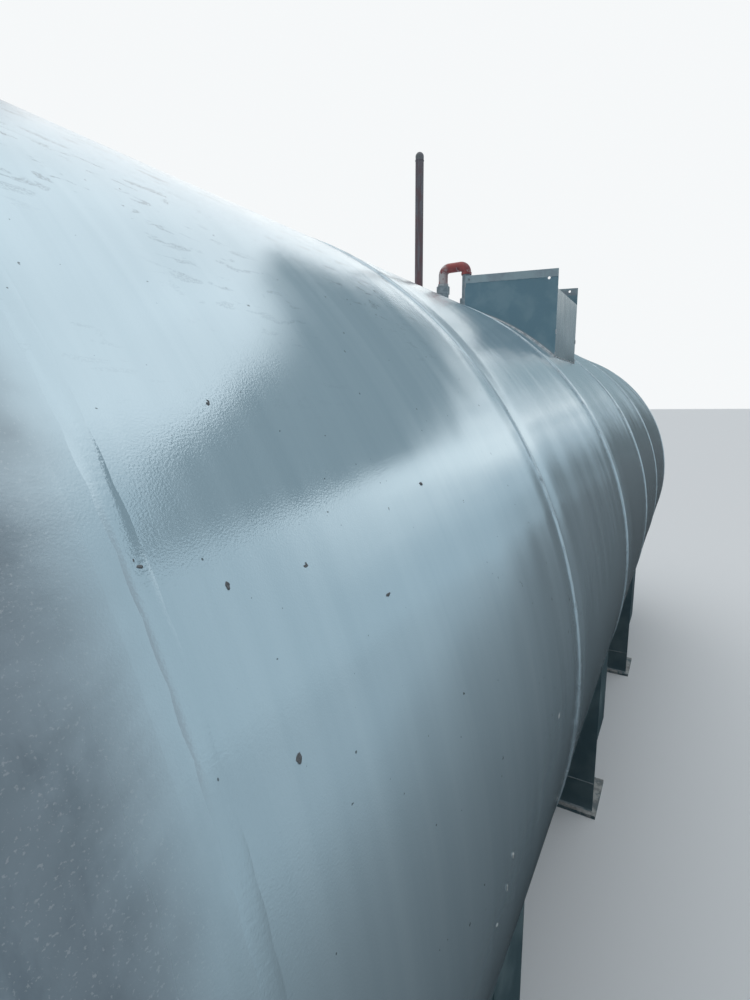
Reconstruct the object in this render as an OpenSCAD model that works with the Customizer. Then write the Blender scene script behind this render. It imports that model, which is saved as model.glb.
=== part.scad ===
// Horizontal pressure tank on three steel saddles.
// A rolled shell of five plate courses is closed by two dished heads. A sheet metal valve box,
// a vent pipe and a bridge pipe stand on its crown.
// X runs along the tank, Y across it, Z up. The origin is on the floor under the tank's middle.

/* [Shell] */
// Outside diameter of the shell
tank_d = 2600; // [2200:10:3000]
// Thickness of the rolled shell plate
shell_t = 14; // [8:1:24]
// Height of the tank's axis above the floor
axis_h = 1560; // [1540:10:1900]
// Width of the first plate course, at the near end
near_course_w = 1090; // [800:10:1600]
// Width of each of the three middle courses
mid_course_w = 1200; // [1000:10:1500]
// Width of the last plate course, at the far end
far_course_w = 1500; // [1000:10:1800]

/* [Heads] */
// Thickness of the dished heads
head_t = 16; // [8:1:24]
// Straight flange between the head's knuckle and its weld
head_flange = 28; // [20:1:80]
// Crown radius as a share of the head's inside diameter
crown_share = 0.904; // [0.8:0.004:1]
// Knuckle radius as a share of the head's inside diameter
knuckle_share = 0.173; // [0.1:0.001:0.2]

/* [Welds] */
// Width of a weld's cap
weld_w = 26; // [12:1:40]
// Height of a weld's cap above the plate
weld_cap = 3; // [1:0.5:5]
// Angle from the crown to the long seams of the odd courses, in degrees
odd_seam_angle = 52; // [30:1:80]
// Angle from the crown to the long seams of the even courses, in degrees
even_seam_angle = 84; // [30:1:100]

/* [Saddles] */
// Distance from one saddle to the next
saddle_pitch = 1850; // [1400:10:2100]
// Place of the middle saddle along the tank
saddle_mid_x = -272; // [-400:2:400]
// Angle that a saddle wraps round the shell, in degrees
wrap_angle = 129.6; // [100:0.2:140]
// How far the base plate runs out past the web's end
base_over = 22; // [0:1:80]
// Thickness of the web
web_t = 16; // [8:1:30]
// How far the base plate runs out past the curved pad, along the tank
base_lap = 22; // [0:1:80]
// Thickness of the base plate
base_t = 20; // [10:1:40]
// Width of the curved pad between saddle and shell
pad_len = 300; // [160:10:400]
// Thickness of the curved pad
pad_t = 10; // [6:1:20]
// How far the pad runs up past the saddle's tips, in degrees
pad_end_angle = 4; // [1:0.5:5]
// Distance of the outer stiffening ribs from the middle
rib_y = 620; // [400:10:800]
// Height of the horn plate's foot above the floor
horn_foot = 450; // [200:10:600]
// Thickness of the stiffening ribs
rib_t = 14; // [8:1:24]
// Distance from the web's face and the ribs' back edge to the pad's edges
web_inset = 12; // [5:1:40]
// Diameter of the anchor bolt holes
anchor_d = 26; // [18:1:40]
// Anchor hole spacing along the tank
anchor_span_x = 160; // [100:10:180]
// Distance from the base plate's end to the anchor holes
anchor_edge = 250; // [60:10:340]

/* [Valve box] */
// Place of the box's front plate along the tank
box_x = -470; // [-1000:10:400]
// Length of the box along the tank
box_len = 525; // [400:5:800]
// Distance from the tank's middle to the box's upper side
box_y_in = 385; // [300:5:420]
// Width of the box across the tank
box_w = 485; // [440:5:520]
// Rise of the front and back plates above the crown
box_rise = 100; // [70:5:200]
// Drop of the side plates' top below the crown
box_side_drop = 5; // [-50:5:15]
// Sheet thickness of the box
sheet_t = 3; // [2:0.5:6]
// Height of the folded band along the front and back plates
hem_h = 38; // [20:1:60]
// Thickness of the folded band
hem_t = 2; // [1:0.5:4]
// Diameter of the corner holes
corner_hole_d = 14; // [8:1:20]
// How much lower the crosswise plates' outer top corner lies than the inner one
box_top_fall = 22; // [0:1:60]
// Distance from a crosswise plate's inner edge to its inner corner hole
inner_hole_inset = 20; // [15:1:40]
// Distance from a crosswise plate's outer edge to its outer corner hole
outer_hole_inset = 45; // [15:1:60]
// Distance from the top edge down to the inner corner holes
inner_hole_drop = 22; // [12:1:40]
// Distance from the top edge down to the front plate's outer corner hole
front_hole_drop = 40; // [12:1:60]
// Distance from the top edge down to the back plate's outer corner hole
back_hole_drop = 15; // [12:1:60]

/* [Box nozzle] */
// Outside diameter of the nozzle pipe in the box
nozzle_d = 114.3; // [88.9:0.1:120]
// Wall of the nozzle pipe
nozzle_wall = 6; // [4:0.5:8]
// Outside diameter of the nozzle flange
flange_d = 229; // [210:1:250]
// Thickness of the flange and of its blind cover
flange_t = 24; // [16:1:30]
// Bolt circle of the flange
flange_pcd = 190.5; // [175:0.5:200]
// Diameter of the flange's bolt holes
flange_hole_d = 19; // [14:1:22]
// Number of bolts in the flange
flange_bolts = 8; // [4:4:8]
// Thickness of the gasket between flange and cover
gasket_t = 3; // [1:0.5:4]
// Drop of the flange's underside below the crown
flange_drop = 60; // [40:1:70]

/* [Crown pipes] */
// Outside diameter of the vent pipe and of the bridge pipe's drop
pipe_d = 48.3; // [33.7:0.1:50]
// Wall of the crown pipes
pipe_wall = 3.7; // [2.5:0.1:5]
// Place of the vent pipe along the tank
vent_x = -245; // [-1000:5:600]
// Height of the vent pipe's top above the crown
vent_h = 838; // [400:5:1200]
// Place of the bridge pipe along the tank
bridge_x = -205; // [-1000:5:600]
// Distance of the bridge pipe's first leg from the middle
bridge_y = 143; // [120:1:160]
// Distance between the legs of the bridge pipe
bridge_span = 146; // [120:1:170]
// Height of the bridge pipe's run above the crown
bridge_h = 230; // [215:1:300]
// Outside diameter of the bent bridge pipe
bend_d = 54; // [51:1:60]
// Bend radius, at the middle of the pipe
bend_r = 38; // [34:1:50]
// Height of the hexagon's top above the crown
hex_h = 130; // [115:1:140]

/* [Hidden] */

smooth = 180;
seat = 0.2;
over = 1;

tank_r = tank_d / 2;
course_w = [near_course_w, mid_course_w, mid_course_w, mid_course_w, far_course_w];
shell_len = near_course_w + 3 * mid_course_w + far_course_w;
// Place of seam i, counted from the near head's weld
function seam_x(i) = i == 0 ? -shell_len / 2 : seam_x(i - 1) + course_w[i - 1];

// Head profile: a crown arc and a knuckle arc that touch where their centres line up
head_ri = tank_r - head_t;
crown_r = 2 * head_ri * crown_share;
knuckle_r = 2 * head_ri * knuckle_share;
knuckle_x = head_ri - knuckle_r;
crown_drop = sqrt(pow(crown_r - knuckle_r, 2) - pow(knuckle_x, 2));
knuckle_angle = atan(knuckle_x / crown_drop);

// Step of the weld cap's curve, as a share of its half width
cap_step = 0.25;

pad_ri = tank_r + seat;
pad_ro = pad_ri + pad_t;
cradle_r = pad_ro + seat;
horn_y = cradle_r * sin(wrap_angle / 2);
web_w = 2 * horn_y;
base_w = web_w + 2 * base_over;
base_len = pad_len + 2 * base_lap;
rib_len = pad_len - 2 * web_inset - web_t;
pad_half_angle = wrap_angle / 2 + pad_end_angle;

box_y_out = box_y_in + box_w;
box_mid_y = -(box_y_in + box_y_out) / 2;
box_mid_x = box_x + box_len / 2;
crown_z = axis_h + tank_r;
box_top_z = crown_z + box_rise;
box_side_top_z = crown_z - box_side_drop;
flange_z = crown_z - flange_drop;
gasket_z = flange_z + flange_t;
cover_z = gasket_z + gasket_t;

// Couplings and the boss that the crown pipes screw into
coupling_wall = 11;
coupling_d = pipe_d + 2 * coupling_wall;
coupling_len = 80;
thread_len = 50;
cap_len = 22;
boss_d = 66;
hex_d = 78;
hex_len = 44;
collar_d = 62;
collar_len = 13;
band_wall = 3;
band_len = 12;
bridge_run_z = crown_z + bridge_h;
bridge_bend_z = bridge_run_z - bend_r;
hex_top_z = crown_z + hex_h;
collar_top_z = hex_top_z + collar_len;
vent_top_z = crown_z + vent_h;

silver = [0.70, 0.76, 0.80];
saddle_grey = [0.33, 0.40, 0.45];
sheet_grey = [0.38, 0.48, 0.54];
zinc = [0.62, 0.66, 0.68];
brown = [0.36, 0.26, 0.23];
red = [0.55, 0.22, 0.25];
fitting_grey = [0.42, 0.46, 0.50];

// Turns a piece drawn upward so that it lies along the tank's axis, from x onward
module along_axis(x) {
  translate([x, 0, axis_h]) rotate([0, 90, 0]) children();
}

// Stands a profile drawn across the tank upright at x and gives it a thickness
module crosswise(x, t) {
  translate([x, 0, 0]) rotate([90, 0, 90]) linear_extrude(t) children();
}

// The room that the shell takes, with a margin for what is fitted round it
module shell_room(margin) {
  along_axis(-shell_len / 2) cylinder(r = tank_r + margin, h = shell_len, $fn = smooth);
}

module shell_course(i) {
  color(silver) along_axis(seam_x(i - 1)) difference() {
    cylinder(r = tank_r, h = course_w[i - 1], $fn = smooth);
    translate([0, 0, -over]) cylinder(r = tank_r - shell_t, h = course_w[i - 1] + 2 * over, $fn = smooth);
  }
}

// Half profile of a dished head, grown outward by its plate thickness t and cut off at low
module dish_profile(t, low) {
  intersection() {
    translate([0, low]) square(2 * tank_r);
    union() {
      intersection() {
        translate([0, -crown_drop]) circle(crown_r + t, $fn = smooth);
        polygon([
          [0, -crown_drop],
          [2 * crown_r * sin(knuckle_angle), 2 * crown_r * cos(knuckle_angle) - crown_drop],
          [0, 2 * crown_r]
        ]);
      }
      translate([knuckle_x, 0]) circle(knuckle_r + t, $fn = smooth);
      translate([0, low]) square([head_ri + t, -low]);
    }
  }
}

// Dished head with its apex up and its weld edge at height 0
module dished_head() {
  translate([0, 0, head_flange]) rotate_extrude($fn = smooth) difference() {
    dish_profile(head_t, -head_flange);
    dish_profile(0, -head_flange - over);
  }
}

module near_head() {
  color(silver) mirror([1, 0, 0]) along_axis(shell_len / 2) dished_head();
}

module far_head() {
  color(silver) along_axis(shell_len / 2) dished_head();
}

// Rounded cap of a weld, drawn on a plate whose face is at x = 0
module cap_profile() {
  polygon([for (t = [-1:cap_step:1]) [max(seat, weld_cap * (1 - t * t)), t * weld_w / 2]]);
}

module girth_weld(i) {
  color(silver) along_axis(seam_x(i)) rotate_extrude($fn = smooth) translate([tank_r, 0]) cap_profile();
}

// One long seam a course, turned away from its neighbour's
module long_welds() {
  color(silver) for (i = [1:5]) {
    a = i % 2 == 1 ? odd_seam_angle : even_seam_angle;
    translate([seam_x(i - 1) + weld_w / 2, 0, axis_h]) rotate([-a, 0, 0]) rotate([0, -90, 0])
      mirror([0, 0, 1]) linear_extrude(course_w[i - 1] - weld_w) translate([tank_r, 0]) cap_profile();
  }
}

function saddle_x(i) = saddle_mid_x + (i - 2) * saddle_pitch;

// Curved pad under the shell, grooved where a girth weld passes through it
module saddle_pad(i) {
  x0 = saddle_x(i) - pad_len / 2;
  color(saddle_grey) along_axis(x0) rotate([0, 0, -pad_half_angle])
    rotate_extrude(angle = 2 * pad_half_angle, $fn = smooth) difference() {
      translate([pad_ri, 0]) square([pad_t, pad_len]);
      for (k = [0:5]) translate([tank_r, seam_x(k) - x0 - weld_w / 2 - over])
        square([weld_cap + 2 * seat, weld_w + 2 * over]);
    }
}

function web_x(i) = saddle_x(i) - pad_len / 2 + web_inset;

// Crosswise plate near the base plate's front edge, cut out to cradle the pad
module saddle_web(i) {
  color(saddle_grey) crosswise(web_x(i), web_t) difference() {
    translate([-web_w / 2, base_t]) square([web_w, axis_h - base_t]);
    translate([0, axis_h]) circle(cradle_r, $fn = smooth);
  }
}

// Lengthwise plates behind the web, each cut to the pad's curve and with its foot at a height
module back_plates(i, places, foot) {
  color(saddle_grey) difference() {
    for (y = places)
      translate([web_x(i) + web_t, y, foot]) cube([rib_len, rib_t, axis_h - foot]);
    shell_room(pad_t + 2 * seat);
  }
}

// Plates that close the two horns, from above the foot up to the pad
module saddle_horns(i) {
  back_plates(i, [-horn_y, horn_y - rib_t], horn_foot);
}

// Stiffening ribs from the base plate up to the pad
module saddle_ribs(i) {
  back_plates(i, [-rib_y - rib_t / 2, -rib_t / 2, rib_y - rib_t / 2], base_t);
}

module saddle_base(i) {
  color(saddle_grey) difference() {
    translate([saddle_x(i) - base_len / 2, -base_w / 2, 0]) cube([base_len, base_w, base_t]);
    for (sx = [-1, 1], sy = [-1, 1])
      translate([saddle_x(i) + sx * anchor_span_x / 2, sy * (base_w / 2 - anchor_edge), -over])
        cylinder(d = anchor_d, h = base_t + 2 * over, $fn = 48);
  }
}

// Crosswise plate of the valve box: its foot is cut to the shell, and its top edge falls toward
// the outer side and is folded over to the outside. out is -1 where outside is toward -X.
module box_cross_plate(x, out, outer_hole_drop) {
  hem_x = out < 0 ? x - hem_t : x + sheet_t;
  in_z = box_top_z + box_top_fall / 2;
  out_z = box_top_z - box_top_fall / 2;
  color(sheet_grey) difference() {
    union() {
      crosswise(x, sheet_t) difference() {
        polygon([[-box_y_out, axis_h], [-box_y_in, axis_h], [-box_y_in, in_z], [-box_y_out, out_z]]);
        translate([0, axis_h]) circle(tank_r + seat, $fn = smooth);
      }
      crosswise(hem_x, hem_t)
        polygon([
          [-box_y_out, out_z - hem_h], [-box_y_in, in_z - hem_h],
          [-box_y_in, in_z], [-box_y_out, out_z]
        ]);
    }
    corner_hole(x, box_y_in + inner_hole_inset, in_z - inner_hole_drop);
    corner_hole(x, box_y_out - outer_hole_inset, out_z - outer_hole_drop);
  }
}

module corner_hole(x, y, z) {
  translate([x - hem_t - over, -y, z]) rotate([0, 90, 0])
    cylinder(d = corner_hole_d, h = sheet_t + 2 * hem_t + 2 * over, $fn = 32);
}

module box_front_plate() {
  box_cross_plate(box_x, -1, front_hole_drop);
}

module box_back_plate() {
  box_cross_plate(box_x + box_len - sheet_t, 1, back_hole_drop);
}

// Lengthwise plate of the valve box, from y to y + sheet_t
module box_side_plate(y) {
  color(zinc) difference() {
    translate([box_x + sheet_t, y, axis_h])
      cube([box_len - 2 * sheet_t, sheet_t, box_side_top_z - axis_h]);
    shell_room(seat);
  }
}

module box_outer_plate() {
  box_side_plate(-box_y_out);
}

module box_inner_plate() {
  box_side_plate(-box_y_in - sheet_t);
}

module bolt_circle(h) {
  for (k = [0:flange_bolts - 1])
    rotate([0, 0, (k + 0.5) * 360 / flange_bolts]) translate([flange_pcd / 2, 0, -over])
      cylinder(d = flange_hole_d, h = h + 2 * over, $fn = 32);
}

// Nozzle pipe with its flange, its foot cut to the shell
module box_nozzle() {
  color(fitting_grey) difference() {
    union() {
      translate([box_mid_x, box_mid_y, axis_h]) cylinder(d = nozzle_d, h = gasket_z - axis_h, $fn = 96);
      translate([box_mid_x, box_mid_y, flange_z]) cylinder(d = flange_d, h = flange_t, $fn = 96);
    }
    translate([box_mid_x, box_mid_y, axis_h - over])
      cylinder(d = nozzle_d - 2 * nozzle_wall, h = gasket_z - axis_h + 2 * over, $fn = 96);
    translate([box_mid_x, box_mid_y, flange_z]) bolt_circle(flange_t);
    shell_room(seat);
  }
}

module box_gasket() {
  color([0.15, 0.15, 0.16]) translate([box_mid_x, box_mid_y, gasket_z]) difference() {
    cylinder(d = flange_pcd - flange_hole_d - 2 * over, h = gasket_t, $fn = 96);
    translate([0, 0, -over]) cylinder(d = nozzle_d - 2 * nozzle_wall, h = gasket_t + 2 * over, $fn = 96);
  }
}

module box_nozzle_cover() {
  color(fitting_grey) translate([box_mid_x, box_mid_y, cover_z]) difference() {
    cylinder(d = flange_d, h = flange_t, $fn = 96);
    bolt_circle(flange_t);
  }
}

// Upright tube from height z0 to z1 at [x, y]
module tube(x, y, z0, z1, d, bore) {
  translate([x, y, z0]) difference() {
    cylinder(d = d, h = z1 - z0, $fn = 96);
    translate([0, 0, -over]) cylinder(d = bore, h = z1 - z0 + 2 * over, $fn = 96);
  }
}

pipe_bore = pipe_d - 2 * pipe_wall;
vent_foot_z = crown_z + coupling_len - thread_len;

// Half coupling welded to the crown, which the vent pipe screws into
module vent_coupling() {
  color(brown) difference() {
    tube(vent_x, 0, axis_h, crown_z + coupling_len, coupling_d, pipe_bore);
    translate([vent_x, 0, vent_foot_z]) cylinder(d = pipe_d + 2 * seat, h = coupling_len, $fn = 96);
    shell_room(seat);
  }
}

module vent_pipe() {
  color(brown) tube(vent_x, 0, vent_foot_z, vent_top_z, pipe_d, pipe_bore);
}

// Domed cap welded onto the end of the vent pipe
module vent_cap() {
  color(brown) translate([vent_x, 0, vent_top_z]) rotate_extrude($fn = 96) difference() {
    union() {
      square([pipe_d / 2, cap_len]);
      translate([0, cap_len]) circle(d = pipe_d, $fn = 96);
    }
    square([pipe_bore / 2, cap_len]);
    translate([0, cap_len]) circle(d = pipe_bore, $fn = 96);
    translate([-pipe_d, -pipe_d]) square([pipe_d, 3 * pipe_d]);
    translate([0, -pipe_d]) square([pipe_d, pipe_d]);
  }
}

// Round boss on the crown with a hexagon at its top
module bridge_base() {
  color(fitting_grey) difference() {
    union() {
      translate([bridge_x, -bridge_y, axis_h]) cylinder(d = boss_d, h = hex_top_z - hex_len - axis_h, $fn = 96);
      translate([bridge_x, -bridge_y, hex_top_z - hex_len]) cylinder(d = hex_d, h = hex_len, $fn = 6);
    }
    translate([bridge_x, -bridge_y, axis_h - over]) cylinder(d = pipe_bore, h = tank_r + bridge_h, $fn = 96);
    shell_room(seat);
  }
}

// Pale ring between the hexagon and the bent pipe
module bridge_collar() {
  color(zinc) tube(bridge_x, -bridge_y, hex_top_z, collar_top_z, collar_d, pipe_bore);
}

// Quarter turn of pipe from straight down to level, toward +Y or toward -Y
module elbow(toward) {
  rotate([90, 0, toward > 0 ? -90 : 90]) translate([-bend_r, 0, 0])
    rotate_extrude(angle = 90, $fn = 96) translate([bend_r, 0]) difference() {
      circle(d = bend_d, $fn = 96);
      circle(d = pipe_bore, $fn = 96);
    }
}

// Pipe bent over from its collar to the drop, with a band at its lower end
module bridge_bend() {
  y2 = -bridge_y - bridge_span;
  color(red) {
    tube(bridge_x, -bridge_y, collar_top_z, bridge_bend_z, bend_d, pipe_bore);
    translate([bridge_x, -bridge_y, bridge_bend_z]) elbow(-1);
    translate([bridge_x, -bridge_y - bend_r, bridge_run_z]) rotate([90, 0, 0])
      tube(0, 0, 0, bridge_span - 2 * bend_r, bend_d, pipe_bore);
    translate([bridge_x, y2, bridge_bend_z]) elbow(1);
    tube(bridge_x, y2, bridge_bend_z - band_len, bridge_bend_z, bend_d + 2 * band_wall, pipe_bore);
  }
}

// Pipe from the bend down to its half coupling on the shell
module bridge_drop() {
  y = bridge_y + bridge_span;
  foot = axis_h + sqrt(tank_r * tank_r - y * y);
  color(fitting_grey) difference() {
    union() {
      translate([bridge_x, -y, axis_h]) cylinder(d = pipe_d, h = bridge_bend_z - band_len - axis_h, $fn = 96);
      translate([bridge_x, -y, axis_h]) cylinder(d = coupling_d, h = foot - axis_h + coupling_len, $fn = 96);
    }
    translate([bridge_x, -y, axis_h - over]) cylinder(d = pipe_bore, h = tank_r + bridge_h, $fn = 96);
    shell_room(seat);
  }
}

near_head();
shell_course(1);  // shell_course_1
shell_course(2);  // shell_course_2
shell_course(3);  // shell_course_3
shell_course(4);  // shell_course_4
shell_course(5);  // shell_course_5
far_head();
girth_weld(0);  // near_head_weld
girth_weld(1);  // girth_weld_1
girth_weld(2);  // girth_weld_2
girth_weld(3);  // girth_weld_3
girth_weld(4);  // girth_weld_4
girth_weld(5);  // far_head_weld
long_welds();
saddle_pad(1);  // saddle_1_pad
saddle_web(1);  // saddle_1_web
saddle_base(1);  // saddle_1_base
saddle_ribs(1);  // saddle_1_ribs
saddle_horns(1);  // saddle_1_horns
saddle_pad(2);  // saddle_2_pad
saddle_web(2);  // saddle_2_web
saddle_base(2);  // saddle_2_base
saddle_ribs(2);  // saddle_2_ribs
saddle_horns(2);  // saddle_2_horns
saddle_pad(3);  // saddle_3_pad
saddle_web(3);  // saddle_3_web
saddle_base(3);  // saddle_3_base
saddle_ribs(3);  // saddle_3_ribs
saddle_horns(3);  // saddle_3_horns
box_front_plate();
box_back_plate();
box_outer_plate();
box_inner_plate();
box_nozzle();
box_gasket();
box_nozzle_cover();
vent_coupling();
vent_pipe();
vent_cap();
bridge_base();
bridge_collar();
bridge_bend();
bridge_drop();
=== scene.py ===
import math
import random

import bmesh
import bpy
from mathutils import Matrix, Vector, noise


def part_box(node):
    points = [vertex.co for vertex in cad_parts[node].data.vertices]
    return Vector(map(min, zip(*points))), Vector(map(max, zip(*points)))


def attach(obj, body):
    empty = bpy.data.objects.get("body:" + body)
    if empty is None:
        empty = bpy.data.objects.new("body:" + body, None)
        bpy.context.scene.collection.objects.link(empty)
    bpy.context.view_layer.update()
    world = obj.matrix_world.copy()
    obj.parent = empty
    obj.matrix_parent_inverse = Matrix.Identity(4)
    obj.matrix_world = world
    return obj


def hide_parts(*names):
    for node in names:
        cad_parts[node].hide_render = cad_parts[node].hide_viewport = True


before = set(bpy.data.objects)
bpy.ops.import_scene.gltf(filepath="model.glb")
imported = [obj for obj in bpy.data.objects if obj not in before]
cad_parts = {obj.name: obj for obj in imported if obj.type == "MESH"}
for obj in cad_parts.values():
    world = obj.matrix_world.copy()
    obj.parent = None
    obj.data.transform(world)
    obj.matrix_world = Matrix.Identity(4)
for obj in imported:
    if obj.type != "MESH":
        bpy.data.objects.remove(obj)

scene = bpy.context.scene
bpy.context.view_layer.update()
RANDOM_SEED = 7
random.seed(RANDOM_SEED)

# The camera stands beside the near head, 2.3 m above the floor, and looks along the tank's shoulder.
# Its place and angles are those of the photograph, and its lens is a phone's wide one.
CAMERA_AT = Vector((-3.325, -1.481, 2.279))
CAMERA_YAW = math.radians(30.28)
CAMERA_PITCH = math.radians(9.85)
CAMERA_ROLL = math.radians(0.38)
PICTURE_H = 1000
FOCAL_PX = 532.63
SENSOR_H = 24.0
CLIP_NEAR = 0.02
CLIP_FAR = 1000.0

look = Vector((math.cos(CAMERA_YAW) * math.cos(CAMERA_PITCH),
               math.sin(CAMERA_YAW) * math.cos(CAMERA_PITCH),
               -math.sin(CAMERA_PITCH)))
level = Vector((math.sin(CAMERA_YAW), -math.cos(CAMERA_YAW), 0.0))
upward = level.cross(look)
camera_right = level * math.cos(CAMERA_ROLL) - upward * math.sin(CAMERA_ROLL)
camera_up = level * math.sin(CAMERA_ROLL) + upward * math.cos(CAMERA_ROLL)
camera_data = bpy.data.cameras.new("camera")
camera_data.sensor_fit = "VERTICAL"
camera_data.sensor_height = SENSOR_H
camera_data.lens = FOCAL_PX / PICTURE_H * SENSOR_H
camera_data.clip_start = CLIP_NEAR
camera_data.clip_end = CLIP_FAR
camera = bpy.data.objects.new("camera", camera_data)
turn = Matrix((camera_right, camera_up, -look)).transposed().to_4x4()
camera.matrix_world = Matrix.Translation(CAMERA_AT) @ turn
scene.collection.objects.link(camera)
scene.camera = camera

# The shell is rolled steel plate in five courses between two dished heads, under a silver enamel
# rolled on by hand. It lies in faint rounds, has a fine orange peel, and keeps scuffs and grit near
# the crown. The plate dips a little along each girth seam.
AXIS_H = 1.56
TANK_R = 1.30
ENAMEL_DARK = (0.64, 0.79, 0.87, 1.0)
ENAMEL_LIGHT = (0.70, 0.85, 0.93, 1.0)
SCUFF = (0.20, 0.24, 0.26, 1.0)
SEAM_START = -2.005
SEAM_PITCH = 1.2
DIP_REACH = 0.09
DIP_DEPTH = 0.0025
BUCKLE_DEPTH = 0.008
WAVE_DEPTH = 0.004
PEEL_DEPTH = 0.00012
SCUFFED_X = (-1.9, -2.4)
SCUFFED_ANGLE = (1.05, 0.45)


def new_group(name, inputs, outputs):
    """An empty shader node group with its named sockets, and its input and output nodes."""
    group = bpy.data.node_groups.new(name, "ShaderNodeTree")
    for socket, kind, value in inputs:
        made = group.interface.new_socket(socket, in_out="INPUT", socket_type=kind)
        if value is not None:
            made.default_value = value
    for socket, kind in outputs:
        group.interface.new_socket(socket, in_out="OUTPUT", socket_type=kind)
    return group, group.nodes.new("NodeGroupInput"), group.nodes.new("NodeGroupOutput")


def wire(tree, source, target):
    """Links an output socket to an input socket, or sets a plain value on the input."""
    if isinstance(source, bpy.types.NodeSocket):
        tree.links.new(source, target)
    else:
        target.default_value = source


def math_node(tree, operation, first, second=None):
    """The output of a Math node."""
    node = tree.nodes.new("ShaderNodeMath")
    node.operation = operation
    for source, target in zip((first, second), node.inputs):
        if source is not None:
            wire(tree, source, target)
    return node.outputs[0]


def times(tree, first, second):
    """The product of two values."""
    return math_node(tree, "MULTIPLY", first, second)


def plus(tree, first, second):
    """The sum of two values."""
    return math_node(tree, "ADD", first, second)


def noise_node(tree, where, scale, detail=2.0, rough=0.5, warp=0.0):
    """The value of a noise texture at a vector."""
    node = tree.nodes.new("ShaderNodeTexNoise")
    settings = (("Vector", where), ("Scale", scale), ("Detail", detail), ("Roughness", rough),
                ("Distortion", warp))
    for socket, value in settings:
        wire(tree, value, node.inputs[socket])
    return node.outputs["Fac"]


def step_node(tree, value, low, high, out_low=0.0, out_high=1.0):
    """A smooth step of a value between two levels."""
    node = tree.nodes.new("ShaderNodeMapRange")
    node.interpolation_type = "SMOOTHSTEP"
    settings = (("Value", value), ("From Min", low), ("From Max", high), ("To Min", out_low),
                ("To Max", out_high))
    for socket, level_value in settings:
        wire(tree, level_value, node.inputs[socket])
    return node.outputs["Result"]


def mix_node(tree, share, first, second):
    """Two colours mixed by a share."""
    node = tree.nodes.new("ShaderNodeMix")
    node.data_type = "RGBA"
    colours = [socket for socket in node.inputs if socket.type == "RGBA"]
    wire(tree, share, node.inputs[0])
    wire(tree, first, colours[0])
    wire(tree, second, colours[1])
    return [socket for socket in node.outputs if socket.type == "RGBA"][0]


def stretched(tree, where, scale, location=(0.0, 0.0, 0.0)):
    """A vector moved and stretched by a Mapping node."""
    node = tree.nodes.new("ShaderNodeMapping")
    wire(tree, where, node.inputs["Vector"])
    node.inputs["Scale"].default_value = scale
    node.inputs["Location"].default_value = location
    return node.outputs["Vector"]


def split(tree, vector):
    """The three parts of a vector."""
    node = tree.nodes.new("ShaderNodeSeparateXYZ")
    wire(tree, vector, node.inputs[0])
    return node.outputs[0], node.outputs[1], node.outputs[2]


def joined(tree, x, y, z):
    """A vector made of three parts."""
    node = tree.nodes.new("ShaderNodeCombineXYZ")
    for source, target in zip((x, y, z), node.inputs):
        wire(tree, source, target)
    return node.outputs[0]


def new_material(name):
    """A material, its tree, its Principled shader and its object coordinates."""
    material = bpy.data.materials.new(name)
    material.use_nodes = True
    tree = material.node_tree
    coords = tree.nodes.new("ShaderNodeTexCoord")
    return material, tree, tree.nodes["Principled BSDF"], coords.outputs["Object"]


def place_group(tree, group, **values):
    """A group's node in a material, with its inputs wired or set."""
    node = tree.nodes.new("ShaderNodeGroup")
    node.node_tree = group
    for socket, value in values.items():
        wire(tree, value, node.inputs[socket.replace("_", " ")])
    return node


def bump(tree, height, distance, shader=None, under=None):
    """A Bump node over another normal, on a shader if one is given."""
    node = tree.nodes.new("ShaderNodeBump")
    node.inputs["Distance"].default_value = distance
    wire(tree, height, node.inputs["Height"])
    if under is not None:
        wire(tree, under, node.inputs["Normal"])
    if shader is not None:
        wire(tree, node.outputs["Normal"], shader.inputs["Normal"])
    return node.outputs["Normal"]


def paint(material, *nodes):
    """Gives CAD nodes a material."""
    for name in nodes:
        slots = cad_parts[name].data.materials
        slots.clear()
        slots.append(material)


# Paint laid round a cylinder, from coordinates unrolled round its axis: masks for the roller's
# rounds, the orange peel, the plate's slight unevenness, dark grit, and scuffs along the axis that
# thin out away from the first course and from the crown.
rolled, rolled_in, rolled_out = new_group(
    "rolled_paint",
    [("Vector", "NodeSocketVector", None), ("Axis Height", "NodeSocketFloat", AXIS_H),
     ("Radius", "NodeSocketFloat", TANK_R)],
    [("Rounds", "NodeSocketFloat"), ("Peel", "NodeSocketFloat"), ("Waves", "NodeSocketFloat"),
     ("Scuffs", "NodeSocketFloat"), ("Grit", "NodeSocketFloat")])
px, py, pz = split(rolled, rolled_in.outputs["Vector"])
over_axis = math_node(rolled, "SUBTRACT", pz, rolled_in.outputs["Axis Height"])
angle = math_node(rolled, "ARCTAN2", py, over_axis)
around = times(rolled, angle, rolled_in.outputs["Radius"])
unrolled = joined(rolled, px, around, 0.0)
rounds = noise_node(rolled, stretched(rolled, unrolled, (14.0, 0.8, 1.0)), 1.0, 5.0, 0.6, 0.4)
wire(rolled, step_node(rolled, rounds, 0.3, 0.7), rolled_out.inputs["Rounds"])
wire(rolled, noise_node(rolled, rolled_in.outputs["Vector"], 480.0, 2.0, 0.5), rolled_out.inputs["Peel"])
wire(rolled, noise_node(rolled, stretched(rolled, unrolled, (2.2, 1.1, 1.0)), 1.0, 2.0, 0.45),
     rolled_out.inputs["Waves"])
streaks = stretched(rolled, unrolled, (16.0, 60.0, 1.0), (3.0, 1.0, 0.0))
streaks = noise_node(rolled, streaks, 1.0, 3.0, 0.6, 0.6)
patches = noise_node(rolled, unrolled, 2.6, 2.0, 0.5)
first_course = step_node(rolled, px, *SCUFFED_X, 0.25, 1.0)
near_crown = step_node(rolled, math_node(rolled, "ABSOLUTE", angle), *SCUFFED_ANGLE)
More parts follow.
